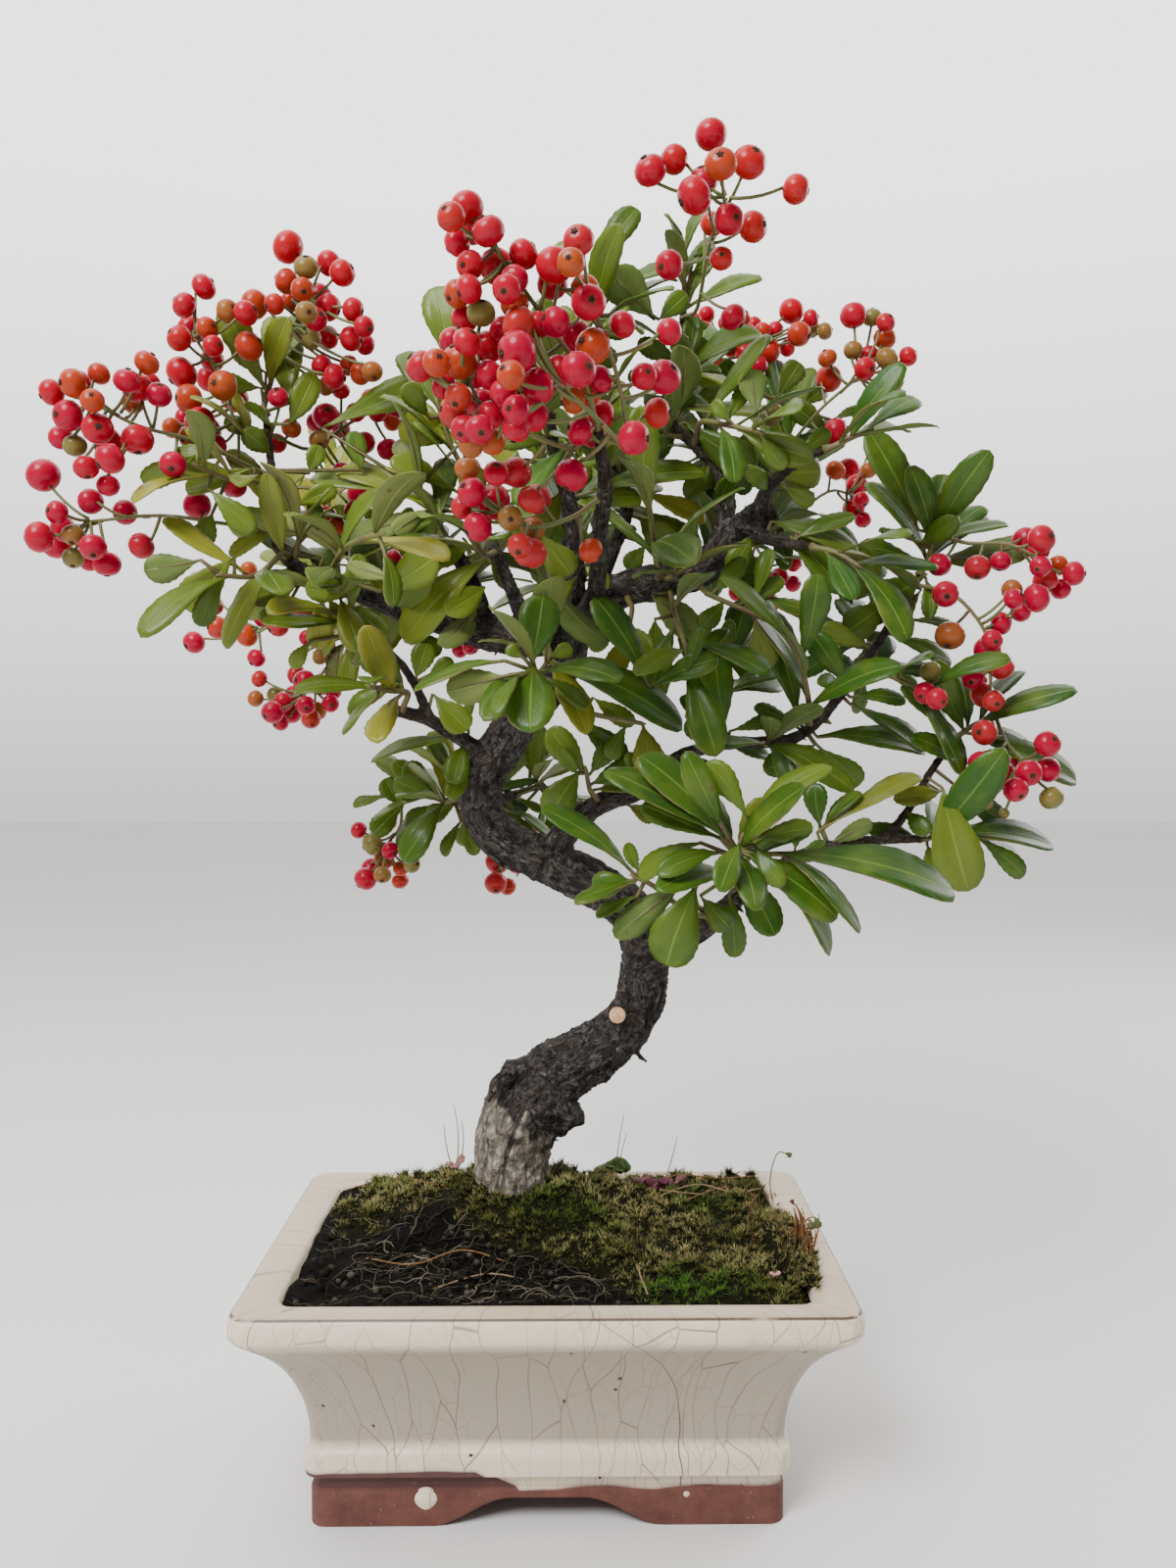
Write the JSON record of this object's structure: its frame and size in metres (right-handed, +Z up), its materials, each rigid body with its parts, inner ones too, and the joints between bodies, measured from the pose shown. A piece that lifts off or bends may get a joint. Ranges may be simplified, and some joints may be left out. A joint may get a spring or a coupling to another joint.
{
  "type": "pyracantha bonsai",
  "caption": "Fruiting pyracantha bonsai with an S-curved trunk, leafy shoots and hanging berry bunches, in a glazed rectangular footed pot.",
  "frame": {"origin": "middle of the whole plant's box, on the surface that the pot's feet stand on", "axes": "+Z up along the tree, +X to the right of the pictured front, +Y to the back"},
  "size_m": [0.2788, 0.197, 0.3506],
  "materials": {
    "glaze": "cream crackle glaze, with bare red-brown clay at the foot",
    "mesh": "black plastic mesh",
    "soil": "dark crumbly bonsai soil",
    "moss": "olive to bright green moss carpet",
    "bark": "dark grey-brown fissured bark, paler at the base",
    "leaf": "leathery leaves, rich green to olive yellow",
    "berry": "glossy red to orange berries on thin green stalks"
  },
  "bodies": {
    "root": {"bunch_back_top": "berry", "bunch_behind_trunk": "berry", "bunch_centre_left": "berry", "bunch_centre_low": "berry", "bunch_centre_mid": "berry", "bunch_centre_right": "berry", "bunch_centre_top": "berry", "bunch_far_left": "berry", "bunch_far_right": "berry", "bunch_far_right_low": "berry", "bunch_hang_left": "berry", "bunch_hang_low": "berry", "bunch_left_low": "berry", "bunch_left_near": "berry", "bunch_left_top": "berry", "bunch_left_up": "berry", "bunch_low_left": "berry", "bunch_right_back": "berry", "bunch_right_hang": "berry", "bunch_right_low": "berry", "bunch_right_top": "berry", "bunch_top": "berry", "drain_mesh": "mesh", "moss": "moss", "pot": "glaze", "shoot_back_right": "leaf", "shoot_back_right_low": "leaf", "shoot_back_top": "leaf", "shoot_bottom_front": "leaf", "shoot_bottom_tip": "leaf", "shoot_branch_far": "leaf", "shoot_branch_mid": "leaf", "shoot_branch_side": "leaf", "shoot_branch_tip": "leaf", "shoot_branch_up": "leaf", "shoot_crown_far_left": "leaf", "shoot_crown_left": "leaf", "shoot_crown_up": "leaf", "shoot_high_back": "leaf", "shoot_high_mid": "leaf", "shoot_high_top": "leaf", "shoot_inner_top": "leaf", "shoot_left_back": "leaf", "shoot_left_back_low": "leaf", "shoot_left_front": "leaf", "shoot_left_low": "leaf", "shoot_left_out": "leaf", "shoot_left_tip": "leaf", "shoot_low_back": "leaf", "shoot_low_left": "leaf", "shoot_low_left_side": "leaf", "shoot_middle_top": "leaf", "shoot_right_front": "leaf", "shoot_right_low": "leaf", "shoot_side_right": "leaf", "shoot_side_tip": "leaf", "shoot_trunk_front": "leaf", "shoot_upper_right": "leaf", "soil": "soil", "tree": "bark"}
  },
  "joints": []
}
